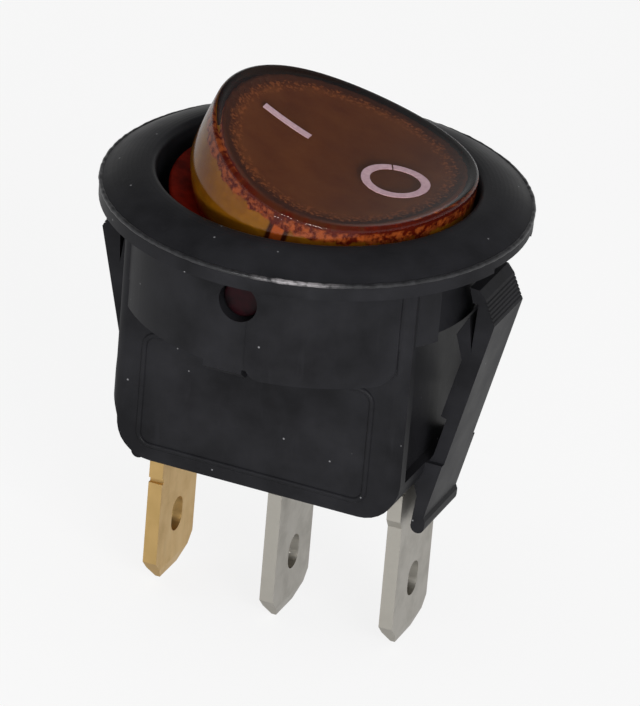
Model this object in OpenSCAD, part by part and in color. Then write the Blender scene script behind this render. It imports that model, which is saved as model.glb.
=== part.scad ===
// Round panel rocker switch: snap-in housing, lit rocker, see-saw contact and three blade terminals.
// X runs along the row of terminals, Y across the body, Z up out of the panel.
// The origin is the middle of the bezel's underside, where the switch meets the panel.

/* [Bezel] */
// Outside diameter of the bezel
bezel_d = 23; // [22.6:0.1:26]
// Height of the upright band round the bezel
band_h = 0.9; // [0.7:0.1:1.2]
// Height of the bezel's crown above the panel
bezel_h = 1.85; // [1.6:0.05:2.2]
// Width of the rounding between the crown and the well
lip_r = 0.35; // [0.2:0.05:0.5]
// Diameter of the well that the rocker turns in
well_d = 17.1; // [16.9:0.1:17.5]
// Depth of the well below the panel at its two ends
well_end_depth = 3.3; // [3.2:0.1:3.6]
// Depth of the well below the panel along its two sides
well_side_depth = 4.6; // [4.4:0.1:4.8]

/* [Collar] */
// Diameter of the collar that centres the switch in its cut-out
collar_d = 19.8; // [19.6:0.1:20]
// Height of the collar below the bezel
collar_h = 5.4; // [5.2:0.1:6]
// How far the guide pads stand out of the collar
pad_out = 0.1; // [0.05:0.05:0.15]
// How far the guide pads reach below the collar
pad_drop = 0.4; // [0.2:0.1:0.6]
// Thickness of the well's wall at the ends, behind the snap legs
ring_wall = 0.65; // [0.5:0.05:0.8]
// Half width of the gap between the collar's two ribs at each end
rib_gap = 4.1; // [3.6:0.1:4.6]

/* [Body] */
// Length of the body along the row of terminals
body_l = 16.6; // [16.2:0.1:17]
// Width of the body
body_w = 12.3; // [12:0.1:13]
// Depth of the body below the panel
body_depth = 14.1; // [14:0.1:16]
// Thickness of the two long walls
side_wall = 1.15; // [0.8:0.05:1.4]
// Thickness of the two end walls
end_wall = 0.38; // [0.35:0.01:0.5]
// Depth of the recess behind each snap leg
end_recess = 0.5; // [0.3:0.05:0.6]
// Thickness of the floor that the terminals pass through
floor_t = 1.7; // [1.4:0.1:2.2]
// Radius of the upright corners
corner_r = 1; // [0.6:0.1:1.2]
// Radius of the lower corners
foot_r = 2.1; // [1.5:0.1:2.4]
// Depth below the panel of the shoulder on two opposite corners
shoulder_z = 10.5; // [10:0.1:11]
// How far that shoulder stands out
shoulder_out = 0.2; // [0.1:0.05:0.3]

/* [Snap legs] */
// Width of each snap leg
leg_w = 4; // [3.6:0.1:5]
// Thickness of the upper part of each leg
leg_t = 1.05; // [0.9:0.05:1.2]
// Thickness of the springy part of each leg
flex_t = 0.72; // [0.6:0.02:0.85]
// How far the elbow stands out past the collar
leg_reach = 1.4; // [1.2:0.05:1.55]
// Depth of the elbow below the panel
elbow_z = 3.35; // [3.2:0.05:3.8]
// Number of grip teeth on each leg's head
leg_teeth = 6; // [4:1:7]
// Width of each leg's foot
leg_foot_w = 4.6; // [4.2:0.1:7]
// How far each foot reaches below the body
leg_foot_drop = 2.2; // [1.8:0.1:2.6]

/* [Rocker] */
// Tilt of the rocker to either side of level
tilt = 13.9; // [13.2:0.1:14.2]
// Depth of the pivot below the panel
pivot_drop = 1.6; // [1.5:0.05:1.7]
// Height of the middle of the touch face above the pivot
face_h = 4.82; // [4.6:0.02:5]
// Radius of the hollow touch face
face_r = 40; // [30:1:60]
// Rounding round the touch face
rim_r = 0.45; // [0.3:0.05:0.6]
// Height of the rocker's widest place above the pivot
belly_h = 3; // [2.6:0.1:3.4]
// Half the length of the short straight that makes the rocker oval along its pivot
rocker_oval = 0.5; // [0.2:0.05:0.55]
// How far the belly stands out beyond the rim
belly_out = 0.34; // [0.2:0.02:0.4]
// How far the neck above the flange draws in from the belly
neck_in = 0.95; // [0.7:0.05:1.1]
// Height of the flange's underside above the pivot
flange_h = 0.45; // [0.45:0.05:0.6]
// Thickness of the flange
flange_t = 0.4; // [0.3:0.05:0.5]
// Wall of the rocker at the rim
rocker_wall = 1.1; // [0.9:0.05:1.2]
// Wall of the rocker at the neck
neck_wall = 0.75; // [0.6:0.05:0.9]
// Thickness of the rocker under the touch face
face_t = 1.4; // [1.2:0.05:1.5]
// Clearance between the rocker and the well
rocker_gap = 0.25; // [0.2:0.05:0.35]
// Diameter of the trunnions
trunnion_d = 2.1; // [1.9:0.05:2.2]
// Radial clearance of the trunnions in the collar
trunnion_fit = 0.05; // [0.03:0.01:0.08]

/* [Plunger] */
// Diameter of the plunger
plunger_d = 2.1; // [1.9:0.05:2.2]
// Diameter of the plunger's round nose
nose_d = 1.5; // [1.3:0.05:1.6]
// Length of the plunger
plunger_l = 5.4; // [5.2:0.1:5.6]
// Radial clearance of the plunger in its tube
plunger_fit = 0.08; // [0.05:0.01:0.1]
// Wall of the plunger's tube
tube_wall = 0.6; // [0.5:0.05:0.7]
// Depth of the tube's mouth below the pivot
tube_drop = 4.4; // [4.2:0.1:4.6]

/* [Terminals] */
// Width of the terminal blades
tab_w = 4.8; // [4.4:0.1:5]
// Thickness of the terminal blades
tab_t = 0.8; // [0.7:0.02:0.82]
// How far the blades stand out below the body
tab_out = 9.7; // [9:0.1:12]
// How much lower the middle blade ends
middle_drop = 0.35; // [0:0.05:0.6]
// Height of the pointed end of each blade
tip_h = 1.4; // [1.2:0.1:2.2]
// Width of the flat at the end of each blade
tip_w = 2.2; // [1.6:0.1:2.8]
// Width of the wire hole
eye_w = 1.4; // [1.2:0.05:1.6]
// Height of the wire hole
eye_h = 2; // [1.8:0.05:2.4]
// Height of the wire hole's middle above the blade's end
eye_up = 3.5; // [3.2:0.1:4.4]

/* [Contacts] */
// Distance of the contacts from the fulcrum
contact_x = 4.1; // [3.9:0.1:4.3]
// Diameter of the contact rivets
contact_d = 2.4; // [2.1:0.1:2.6]
// Thickness of the contact rivets' heads
contact_t = 0.5; // [0.4:0.05:0.6]
// Thickness of the contact arm
arm_t = 0.6; // [0.5:0.05:0.7]
// Width of the contact arm
arm_w = 4.2; // [3.8:0.1:4.4]
// Length of each half of the contact arm
arm_l = 5.4; // [5.3:0.1:5.6]
// Tilt of the contact arm to either side of level, and the rise of its two flanks
arm_tilt = 10; // [9:0.5:10.5]
// Diameter of the wire of the springs
wire_d = 0.3; // [0.24:0.02:0.34]

/* [Lamp] */
// Diameter of the lamp
lamp_d = 2.4; // [2:0.1:2.5]
// Length of the lamp's glass
lamp_l = 6; // [5:0.1:6]
// Distance of the lamp and the resistor from the rocker's middle line
lamp_y = 3.7; // [3.5:0.1:3.8]
// Diameter of the resistor
resistor_d = 1.7; // [1.4:0.1:1.9]
// Length of the resistor
resistor_l = 3.8; // [3:0.1:4.4]
// Distance of the lamp springs from the middle
spring_x = 5; // [4.8:0.1:5.1]

/* [Hidden] */
$fn = 64;

eps = 0.01;
seat = 0.04;              // gap between pieces that sit on each other
slot_fit = 0.05;          // clearance round a blade in the floor
pivot_z = -pivot_drop;
well_r = well_d / 2;
collar_r = collar_d / 2;
ring_r = well_r + ring_wall;
half_l = body_l / 2;
half_w = body_w / 2;
cavity_x = half_l - end_recess - end_wall;
cavity_y = half_w - side_wall;
floor_z = floor_t - body_depth;
shelf_t = 0.6;            // floor of the well at its ends
ring_h = well_end_depth + shelf_t;
tab_x = cavity_x - slot_fit - tab_t / 2;
tab_end = -body_depth - tab_out;

// The contacts stack up from the floor to the arm, and the arm sets the plunger's reach
load_z = floor_z + seat;
fixed_z = load_z + tab_t;
closed_gap = 0.06;
arm_z = fixed_z + contact_t + closed_gap + contact_t;
fulcrum_gap = 0.08;
arm_top = arm_z + arm_t;
arm_pivot_z = arm_z - fulcrum_gap / 2;
nose_gap = 0.35;
reach = (pivot_z - arm_top - nose_gap) / cos(tilt);

// Rocker sizes that follow the well and the tilt
rocker_reach = well_r - rocker_gap;
rim_x = (rocker_reach - (face_h + 0.65) * sin(tilt)) / cos(tilt);
rim_h = face_h + face_r - sqrt(pow(face_r, 2) - pow(rim_x, 2));
ceiling_h = face_h - face_t;
lug_r = 1.6;
flange_r = rocker_reach - 0.1;
carrier_h = -0.3;         // underside of the carrier, from the pivot
carrier_t = 0.7;
carrier_top = carrier_h + carrier_t;
carrier_rim = 0.35;
carrier_fit = 0.1;
tube_r = plunger_d / 2 + plunger_fit;
tube_top = ceiling_h - 0.1;
spring_top = tube_top - 0.5;
cap_d = 2.4;
cap_t = 0.4;
stem_d = 0.9;
lamp_z = carrier_top + 0.15 + lamp_d / 2;
resistor_z = carrier_top + 0.15 + resistor_d / 2;
lead_d = 0.4;
seat_tab_z = -5.8;        // top of the tabs that the lamp springs stand on

function arc(cx, cz, r, a0, a1, n) =
    [for (i = [0:n]) [cx + r * cos(a0 + (a1 - a0) * i / n), cz + r * sin(a0 + (a1 - a0) * i / n)]];

// A point of a coil of a given mean radius and height, t from 0 to 1
function coil_at(r, h, turns, t) = [r * cos(360 * turns * t), r * sin(360 * turns * t), h * t];

module box(x0, x1, y0, y1, z0, z1) {
    translate([x0, y0, z0])
        cube([x1 - x0, y1 - y0, z1 - z0]);
}

// Repeats a shape turned half a turn about Z, as the housing's own features do
module both_ends() {
    children();
    rotate([0, 0, 180])
        children();
}

// Places what is drawn round the pivot at the rocker's resting tilt
module at_rocker() {
    translate([0, 0, pivot_z])
        rotate([0, tilt, 0])
            children();
}

// Places what is drawn with the arm level at the arm's resting tilt
module at_arm() {
    translate([0, 0, arm_pivot_z])
        rotate([0, -arm_tilt, 0])
            translate([0, 0, -arm_pivot_z])
                children();
}

module round_bar_y(x, z, r, y0, y1) {
    translate([x, y1, z])
        rotate([90, 0, 0])
            cylinder(r = r, h = y1 - y0);
}

module round_bar_x(y, z, r, x0, x1) {
    translate([x0, y, z])
        rotate([0, 90, 0])
            cylinder(r = r, h = x1 - x0);
}

// A coil spring of round wire with closed ends
module coil(r, h, turns) {
    sides = 6;
    steps = round(14 * turns);
    rise = h - wire_d;
    ring = [for (i = [0:steps])
        let (t = i / steps, a = 360 * turns * t, at = coil_at(r, rise, turns, t))
            for (k = [0:sides - 1])
                let (b = 360 * k / sides)
                    at + wire_d / 2 * [cos(b) * cos(a), cos(b) * sin(a), sin(b)]];
    sheath = [for (i = [0:steps - 1]) for (k = [0:sides - 1])
        let (n = (k + 1) % sides)
            [i * sides + k, (i + 1) * sides + k, (i + 1) * sides + n, i * sides + n]];
    start = [for (k = [0:sides - 1]) k];
    end = [for (k = [sides - 1:-1:0]) steps * sides + k];
    translate([0, 0, wire_d / 2])
        polyhedron(ring, concat(sheath, [start], [end]), convexity = 8);
}

// Draws its child, laid out in X and Z, from y0 to y1
module prism_y(y0, y1) {
    translate([0, y1, 0])
        rotate([90, 0, 0])
            linear_extrude(y1 - y0)
                children();
}

// Draws its child, laid out in Y and Z, from x0 to x1
module prism_x(x0, x1) {
    translate([x0, 0, 0])
        rotate([90, 0, 90])
            linear_extrude(x1 - x0)
                children();
}

module rounded_rect(w, h, r) {
    square([w - 2 * r, h], center = true);
    square([w, h - 2 * r], center = true);
    for (sx = [-1, 1], sy = [-1, 1])
        translate([sx * (w / 2 - r), sy * (h / 2 - r)])
            circle(r = r);
}

// A thin round wire through a list of points, with rounded elbows
module wire(points, d) {
    for (i = [0:len(points) - 2])
        hull()
            for (p = [points[i], points[i + 1]])
                translate(p)
                    sphere(d = d, $fn = 12);
}

// ---- housing ----

bezel_r = bezel_d / 2;
crown_x = well_r + lip_r;
edge_r = 0.14;

// Section of the bezel: upright band, crown falling away outwards, rounded lip into the well
module bezel_section() {
    crown_w = bezel_r - edge_r - crown_x;
    polygon(concat(
        [[0, 0], [bezel_r, 0]],
        arc(bezel_r - edge_r, band_h - edge_r, edge_r, 0, 60, 4),
        [for (i = [9:-1:0]) let (t = i / 10)
            [crown_x + crown_w * t, band_h + (bezel_h - band_h) * (1 - pow(t, 1.9))]],
        arc(crown_x, bezel_h - lip_r, lip_r, 90, 180, 6),
        [[0, bezel_h - lip_r]]));
}

leg_root_z = 2.1 - body_depth;
recess_y = half_w - corner_r - 0.05;
recess_x = cavity_x + end_wall;

// Side view of the body's near half: a shoulder and a taper on the left, plain on the right
module body_side_view() {
    foot_z = foot_r - body_depth;
    foot_x = half_l - 0.35 - foot_r;
    polygon(concat(
        [[half_l, 0]],
        [[-half_l, 0], [-half_l, 1.8 - shoulder_z], [-half_l - shoulder_out, -shoulder_z],
            [-half_l - shoulder_out, -shoulder_z - 0.3]],
        arc(-foot_x, foot_z, foot_r, 180, 270, 8),
        arc(half_l - foot_r, foot_z, foot_r, 270, 360, 8)));
}

module body_block() {
    intersection() {
        translate([0, 0, -body_depth])
            linear_extrude(body_depth + eps)
                rounded_rect(body_l + 2 * shoulder_out, body_w, corner_r);
        both_ends()
            prism_y(-half_w - eps, eps)
                body_side_view();
    }
}

collar_x = 7.7;
tongue_x0 = -1.75;
tongue_x1 = 0.5;
groove_w = 0.14;

// Collar wall, deep along the two sides and shallow where its ribs reach round towards the legs
module collar() {
    intersection() {
        translate([0, 0, -collar_h])
            cylinder(r = collar_r, h = collar_h + eps, $fn = 120);
        box(-collar_x, collar_x, -collar_r, collar_r, -collar_h, eps);
    }
    difference() {
        translate([0, 0, -ring_h])
            cylinder(r = collar_r, h = ring_h + eps, $fn = 120);
        box(-collar_r - 1, collar_r + 1, -rib_gap, rib_gap, -ring_h - 1, 1);
    }
    translate([0, 0, -ring_h])
        cylinder(r = ring_r, h = ring_h + eps, $fn = 120);
    both_ends() {
        guide_pad();
        tongue();
    }
}

// Pad with rounded lower corners that stands proud of the collar beside the pivot
module guide_pad() {
    pad_h = collar_h + pad_drop;
    intersection() {
        translate([0, 0, -pad_h])
            cylinder(r = collar_r + pad_out, h = pad_h + eps, $fn = 120);
        prism_y(-collar_r - 1, -half_w + 0.5)
            translate([(tongue_x1 + groove_w + collar_x) / 2, -pad_h / 2 + 1])
                rounded_rect(collar_x - tongue_x1 - groove_w, pad_h + 2, 0.9);
        box(0, collar_r, -collar_r - 1, 0, -pad_h, eps);
    }
}

// Springy tongue below the pivot hole, with a bevelled lower lip
module tongue() {
    tongue_h = collar_h + 0.7;
    intersection() {
        translate([0, 0, -tongue_h])
            cylinder(r = collar_r, h = tongue_h + eps, $fn = 120);
        prism_x(tongue_x0, tongue_x1)
            polygon([[-collar_r - 0.1, 0], [-collar_r - 0.1, 0.55 - tongue_h], [-collar_r + 0.6, -tongue_h],
                [-half_w + 0.5, -tongue_h], [-half_w + 0.5, 0]]);
    }
}

elbow_x = collar_r + leg_reach;
leg_slope = (elbow_x - half_l - 0.2) / (body_depth + 1.15 - elbow_z);
function leg_x(z) = elbow_x + (z + elbow_z) * leg_slope;
function leg_in(z, t) = leg_x(z) - t / cos(atan(leg_slope));
head_z = 1.45;
foot_t = 0.8;

// Side view of a snap leg: foot, springy strip, thicker arm and barbed head
module leg_side_view() {
    step_z = -9.35;
    polygon(concat(
        [[elbow_x - 1.55, -head_z], [elbow_x - 1, -head_z - 0.05], [elbow_x - 0.62, -head_z - 0.5],
            [elbow_x, -elbow_z], [leg_x(leg_root_z - 0.4), leg_root_z - 0.4]],
        [[half_l, leg_root_z - 0.8], [recess_x, leg_root_z - 0.3]],
        [[leg_in(leg_root_z, flex_t) - 0.15, leg_root_z - 0.05], [leg_in(leg_root_z + 0.4, flex_t), leg_root_z + 0.4],
            [leg_in(step_z, flex_t), step_z], [leg_in(step_z, leg_t), step_z + 0.1],
            [leg_in(-5.7, leg_t), -5.7], [leg_in(-4.3, leg_t) - 0.75, -4.3], [elbow_x - 1.2, -2.7]]));
}

// Side view of the foot that runs down past the body's lower edge
module leg_foot_view() {
    low = -body_depth - leg_foot_drop;
    x1 = leg_x(low + 1);
    r = foot_t / 2;
    polygon(concat(
        [[recess_x - 0.1, leg_root_z], [leg_x(leg_root_z), leg_root_z], [x1, low + 1], [x1 + 0.1, low + 0.75]],
        arc(x1 + 0.1 - r, low + r, r - eps, 0, -180, 8),
        [[x1 + 0.3 - foot_t, -body_depth], [recess_x - 0.1, leg_root_z - 1.2]]));
}

module snap_leg() {
    difference() {
        union() {
            prism_y(-leg_w / 2, leg_w / 2)
                leg_side_view();
            prism_y(-leg_foot_w / 2, leg_foot_w / 2)
                leg_foot_view();
        }
        // split in the head
        prism_y(-leg_w, leg_w)
            polygon([[elbow_x - 1.5, -2.3], [elbow_x - 1, -2.3], [leg_in(-5.2, 0.7), -5.2]]);
        // grip teeth
        for (i = [1:leg_teeth]) {
            t = i / (leg_teeth + 1);
            translate([elbow_x - 0.62 * t, 0, -elbow_z + (elbow_z - head_z - 0.5) * t])
                rotate([0, 25, 0])
                    prism_y(-leg_w, leg_w)
                        polygon([[0.2, 0.11], [-0.15, 0], [0.2, -0.06]]);
        }
    }
}

stop_gap = 0.25;

module housing() {
    color([0.16, 0.16, 0.17])
        difference() {
            union() {
                rotate_extrude($fn = 160)
                    bezel_section();
                collar();
                body_block();
                both_ends()
                    snap_leg();
            }
            // recesses behind the snap legs
            both_ends()
                difference() {
                    box(recess_x, half_l + 1, -recess_y, recess_y, leg_root_z, -ring_h);
                    prism_y(-leg_w / 2, leg_w / 2)
                        leg_side_view();
                }
            // well for the rocker
            translate([0, 0, -well_end_depth])
                cylinder(r = well_r, h = well_end_depth + bezel_h + 1, $fn = 160);
            intersection() {
                translate([0, 0, -well_side_depth])
                    cylinder(r = well_r, h = well_side_depth, $fn = 160);
                box(-6.6, 6.6, -well_r, well_r, -well_side_depth, 0);
            }
            // room for the contacts
            box(-cavity_x, cavity_x, -cavity_y, cavity_y, floor_z, -ring_h);
            intersection() {
                box(-cavity_x, cavity_x, -cavity_y, cavity_y, -ring_h - eps, 0);
                translate([0, 0, -ring_h - 1])
                    cylinder(r = well_r, h = ring_h, $fn = 160);
            }
            // pivot holes through the collar
            for (side = [-1, 1])
                round_bar_y(0, pivot_z, trunnion_d / 2 + trunnion_fit, side * (well_r + 1) - 2, side * (well_r + 1) + 2);
            // slots for the blades
            for (x = [-tab_x, 0, tab_x])
                box(x - tab_t / 2 - slot_fit, x + tab_t / 2 + slot_fit, -tab_w / 2 - slot_fit,
                    tab_w / 2 + slot_fit, -body_depth - 2, floor_z + 1);
            // relief in the bezel's underside, above each leg
            both_ends()
                difference() {
                    box(half_l, bezel_r + 1, -leg_w / 2 - 0.6, leg_w / 2 + 0.6, -eps, 0.25);
                    translate([0, 0, -1])
                        cylinder(r = ring_r, h = 2, $fn = 120);
                }
        }
    color([0.16, 0.16, 0.17])
        arm_stop();
}

// Block on the floor that the arm's free end rests on
module arm_stop() {
    box(-5, -3.4, -1.5, 1.5, floor_z - eps, arm_z - stop_gap);
}

// ---- rocker and what it carries ----

lug_out = flange_r - 0.05;

// Half of the rocker's cross-section: it bellies out below the rim and necks in towards the foot
module rocker_profile() {
    steps = 8;
    neck_h = flange_h + flange_t / 2;
    function swell(t) = pow(abs(t), 1.4);
    polygon(concat(
        [[0, flange_h + eps]],
        [for (i = [steps:-1:1])
            [rim_x + belly_out - neck_in * swell(i / steps), belly_h - (belly_h - neck_h) * i / steps]],
        [for (i = [0:steps - 1])
            [rim_x + belly_out * (1 - swell(i / steps)), belly_h + (rim_h - rim_r - belly_h) * i / steps]],
        arc(rim_x - rim_r, rim_h - rim_r, rim_r, 0, 90, 6),
        [[0, rim_h]]));
}

// The outside of the rocker: two half rounds with a short straight between them, on a thin round flange
module rocker_envelope() {
    for (side = [0, 1])
        rotate([0, 0, 180 * side])
            translate([0, rocker_oval, 0])
                rotate_extrude(angle = 180, $fn = 160)
                    rocker_profile();
    prism_y(-rocker_oval, rocker_oval) {
        rocker_profile();
        mirror([1, 0])
            rocker_profile();
    }
    translate([0, 0, flange_h])
        cylinder(r = flange_r, h = flange_t);
}

cavity_top_r = rim_x - rocker_wall;
cavity_low_r = rim_x + belly_out - neck_in - neck_wall;
trunnion_in = lug_out - rocker_wall / 2;
trunnion_out = collar_r - 0.05;

module rocker() {
    color([0.45, 0.2, 0.1])
        at_rocker() {
            difference() {
                rocker_envelope();
                // hollow touch face
                round_bar_y(0, face_h + face_r, face_r, -bezel_r, bezel_r, $fn = 200);
                // room for the lamp
                translate([0, 0, flange_h - 1])
                    cylinder(r1 = cavity_low_r, r2 = cavity_top_r, h = ceiling_h - flange_h + 1);
            }
            for (side = [-1, 1]) {
                round_bar_y(0, 0, trunnion_d / 2, min(side * trunnion_in, side * trunnion_out),
                    max(side * trunnion_in, side * trunnion_out));
                rocker_lug(side);
            }
        }
}

// Ear below the flange that carries a trunnion
module rocker_lug(side) {
    intersection() {
        cylinder(r = lug_out, h = 20, center = true, $fn = 160);
        prism_y(side * lug_out - 1.2, side * lug_out + 1.2)
            union() {
                circle(r = lug_r);
                translate([-lug_r, 0])
                    square([2 * lug_r, flange_h + flange_t / 2]);
            }
        difference() {
            cylinder(r = lug_out + 1, h = 20, center = true, $fn = 160);
            cylinder(r = lug_out - rocker_wall, h = 21, center = true, $fn = 160);
        }
    }
}

carrier_r = cavity_x - 0.45;
plug_r = cavity_low_r - carrier_fit;
plug_h = 1.2;

// Disc that plugs into the rocker from below, with the plunger's tube and rests for the lamp
module lamp_carrier() {
    color([0.82, 0.62, 0.25])
        at_rocker()
            difference() {
                union() {
                    translate([0, 0, carrier_h])
                        cylinder(r = carrier_r, h = carrier_t, $fn = 120);
                    translate([0, 0, carrier_h])
                        cylinder(r = plug_r, h = carrier_t + plug_h, $fn = 120);
                    translate([0, 0, -tube_drop])
                        cylinder(r = tube_r + tube_wall, h = tube_drop + tube_top);
                }
                translate([0, 0, -tube_drop - 1])
                    cylinder(r = tube_r, h = tube_drop + spring_top + 1);
                difference() {
                    translate([0, 0, carrier_top])
                        cylinder(r = plug_r - carrier_rim, h = 2, $fn = 120);
                    cylinder(r = tube_r + tube_wall, h = 10);
                    lamp_rests();
                }
                for (x = [-spring_x, spring_x])
                    translate([x, 0, carrier_h - 1])
                        cylinder(d = stem_d + 0.1, h = carrier_t + 2, $fn = 32);
            }
}

// Ribs hollowed to the lamp and the resistor
module lamp_rests() {
    for (side = [-1, 1]) {
        difference() {
            box(side * 2.1 - 0.3, side * 2.1 + 0.3, lamp_y - 1.35, lamp_y + 1.35, 0, carrier_top + 0.9);
            round_bar_x(lamp_y, lamp_z, lamp_d / 2 + 0.05, -5, 5);
        }
        difference() {
            box(side * 1.4 - 0.3, side * 1.4 + 0.3, -lamp_y - 1, -lamp_y + 1, 0, carrier_top + 0.7);
            round_bar_x(-lamp_y, resistor_z, resistor_d / 2 + 0.05, -5, 5);
        }
    }
}

module neon_lamp() {
    glass_r = lamp_d / 2;
    color([0.95, 0.75, 0.6])
        at_rocker()
            translate([0, lamp_y, lamp_z]) {
                round_bar_x(0, 0, glass_r, -lamp_l / 2 + glass_r, lamp_l / 2 - glass_r);
                for (side = [-1, 1])
                    translate([side * (lamp_l / 2 - glass_r), 0, 0])
                        sphere(r = glass_r, $fn = 48);
            }
}

module resistor() {
    cap_l = 0.9;
    color([0.75, 0.62, 0.45])
        at_rocker() {
            round_bar_x(-lamp_y, resistor_z, resistor_d / 2 - 0.12, -resistor_l / 2, resistor_l / 2);
            for (side = [-1, 1])
                round_bar_x(-lamp_y, resistor_z, resistor_d / 2, side * (resistor_l - cap_l) / 2 - cap_l / 2,
                    side * (resistor_l - cap_l) / 2 + cap_l / 2);
        }
}

stem_top = carrier_top + 0.6;
pad_z = stem_top + lead_d / 2 + seat;
link_z = carrier_top + lead_d / 2 + 0.1;
link_y = lamp_y - lamp_d / 2 - 0.5;

module lamp_wire_in() {
    end_x = -lamp_l / 2 - lead_d / 2 - seat;
    color("silver")
        at_rocker()
            wire([[-spring_x, 0, pad_z], [0.3 - spring_x, lamp_y / 2, pad_z], [end_x - 0.36, lamp_y, lamp_z],
                [end_x, lamp_y, lamp_z]], lead_d);
}

module lamp_wire_link() {
    lamp_end = lamp_l / 2 + lead_d / 2 + seat;
    back_x = -resistor_l / 2 - 1.1;
    color("silver")
        at_rocker()
            wire([[lamp_end, lamp_y, lamp_z], [lamp_end + 0.3, lamp_y, lamp_z], [lamp_end + 0.3, link_y, link_z],
                [back_x, link_y, link_z], [back_x, -lamp_y, resistor_z],
                [-resistor_l / 2 - lead_d / 2 - seat, -lamp_y, resistor_z]], lead_d);
}

module lamp_wire_out() {
    end_x = resistor_l / 2 + lead_d / 2 + seat;
    color("silver")
        at_rocker()
            wire([[end_x, -lamp_y, resistor_z], [end_x + 1.36, -lamp_y, resistor_z],
                [spring_x - 0.3, -lamp_y / 2, pad_z], [spring_x, 0, pad_z]], lead_d);
}

// Brass cap under the carrier that a lamp spring presses on
module spring_cap(x) {
    color([0.85, 0.68, 0.3])
        at_rocker()
            translate([x, 0, 0]) {
                translate([0, 0, carrier_h - cap_t - seat])
                    cylinder(d = cap_d, h = cap_t, $fn = 48);
                translate([0, 0, carrier_h - cap_t])
                    cylinder(d = stem_d, h = stem_top - carrier_h + cap_t, $fn = 32);
            }
}

module spring_cap_left() {
    spring_cap(-spring_x);
}

module spring_cap_right() {
    spring_cap(spring_x);
}

// Height of a cap's lowest point when the rocker is tilted, on the side given by its sign
cap_h = carrier_h - cap_t - seat;
coil_r = 0.85;
function cap_low(side) = pivot_z + cap_h * cos(tilt) - (side * spring_x + coil_r + wire_d) * sin(tilt);

module lamp_spring(side) {
    color([0.8, 0.8, 0.78])
        translate([side * spring_x, 0, seat_tab_z + seat])
            coil(coil_r, cap_low(side) - seat_tab_z - 3 * seat, 5);
}

module lamp_spring_left() {
    lamp_spring(-1);
}

module lamp_spring_right() {
    lamp_spring(1);
}

plunger_top = plunger_l - reach;

module plunger() {
    nose_r = nose_d / 2;
    color([0.9, 0.88, 0.8])
        at_rocker() {
            translate([0, 0, nose_r - reach])
                sphere(r = nose_r);
            translate([0, 0, nose_r - reach])
                cylinder(r = nose_r, h = 1);
            translate([0, 0, nose_r - reach + 0.5])
                cylinder(r1 = nose_r, r2 = plunger_d / 2, h = 0.5);
            translate([0, 0, nose_r - reach + 1])
                cylinder(d = plunger_d, h = plunger_l - nose_r - 1);
        }
}

module plunger_spring() {
    color([0.8, 0.8, 0.78])
        at_rocker()
            translate([0, 0, plunger_top + seat])
                coil(plunger_d / 2 - wire_d / 2 - 0.06, spring_top - plunger_top - 2 * seat, 9);
}

// ---- contacts and terminals ----

waist_w = 3;
horn_fit = 0.15;
rivet_d = 1;

// See-saw arm: a shallow V, waisted where it sits between the fulcrum's horns
module contact_arm() {
    notch_x = tab_t / 2 + 0.28;
    color([0.8, 0.5, 0.3])
        at_arm()
            difference() {
                for (side = [0, 1])
                    mirror([side, 0, 0])
                        translate([0, 0, arm_z])
                            rotate([0, -arm_tilt, 0])
                                box(0, arm_l, -arm_w / 2, arm_w / 2, 0, arm_t);
                for (side = [-1, 1])
                    box(-notch_x, notch_x, side * (waist_w / 2 + 1) - 1, side * (waist_w / 2 + 1) + 1,
                        arm_z - 1, arm_z + 2);
                translate([0, 0, arm_z])
                    rotate([0, -arm_tilt, 0])
                        translate([contact_x, 0, -1])
                            cylinder(d = rivet_d + 2 * seat, h = 3, $fn = 48);
            }
}

module moving_contact() {
    color([0.88, 0.88, 0.86])
        at_arm()
            translate([0, 0, arm_z])
                rotate([0, -arm_tilt, 0])
                    translate([contact_x, 0, 0]) {
                        translate([0, 0, -contact_t])
                            cylinder(d = contact_d, h = contact_t - seat, $fn = 64);
                        translate([0, 0, -contact_t])
                            cylinder(d = rivet_d, h = contact_t + arm_t + 0.2, $fn = 48);
                        translate([0, 0, arm_t + seat])
                            cylinder(d = rivet_d + 0.7, h = 0.2, $fn = 48);
                    }
}

module fixed_contact() {
    color([0.88, 0.88, 0.86])
        translate([contact_x, 0, fixed_z]) {
            translate([0, 0, seat])
                cylinder(d = contact_d, h = contact_t - seat, $fn = 64);
            translate([0, 0, seat - tab_t])
                cylinder(d = rivet_d, h = tab_t, $fn = 48);
        }
}

// A blade in its own plane: pointed end, wire hole and stop shoulders under the floor
module blade_view(end_z, top_z, shoulder) {
    half = tab_w / 2;
    shoulder_w = half + 0.3;
    under = -body_depth - seat;
    difference() {
        union() {
            polygon([[-tip_w / 2, end_z], [tip_w / 2, end_z], [half, end_z + tip_h], [half, top_z],
                [-half, top_z], [-half, end_z + tip_h]]);
            if (shoulder)
                polygon([[-shoulder_w, under], [-shoulder_w, under - 1.6], [-half, under - 2.1],
                    [half, under - 2.1], [shoulder_w, under - 1.6], [shoulder_w, under]]);
        }
        translate([0, end_z + eye_up])
            square([eye_w, eye_h - eye_w], center = true);
        for (side = [-1, 1])
            translate([0, end_z + eye_up + side * (eye_h - eye_w) / 2])
                circle(d = eye_w);
    }
}

// A blade standing at x, thinned to an edge at its tip
module blade(x, end_z, top_z, shoulder) {
    intersection() {
        prism_x(x - tab_t / 2, x + tab_t / 2)
            blade_view(end_z, top_z, shoulder);
        prism_y(-tab_w, tab_w)
            translate([x, 0])
                polygon([[-tab_t / 2, top_z], [-tab_t / 2, end_z + 0.8], [-tab_t / 6, end_z],
                    [tab_t / 6, end_z], [tab_t / 2, end_z + 0.8], [tab_t / 2, top_z]]);
    }
}

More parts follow.
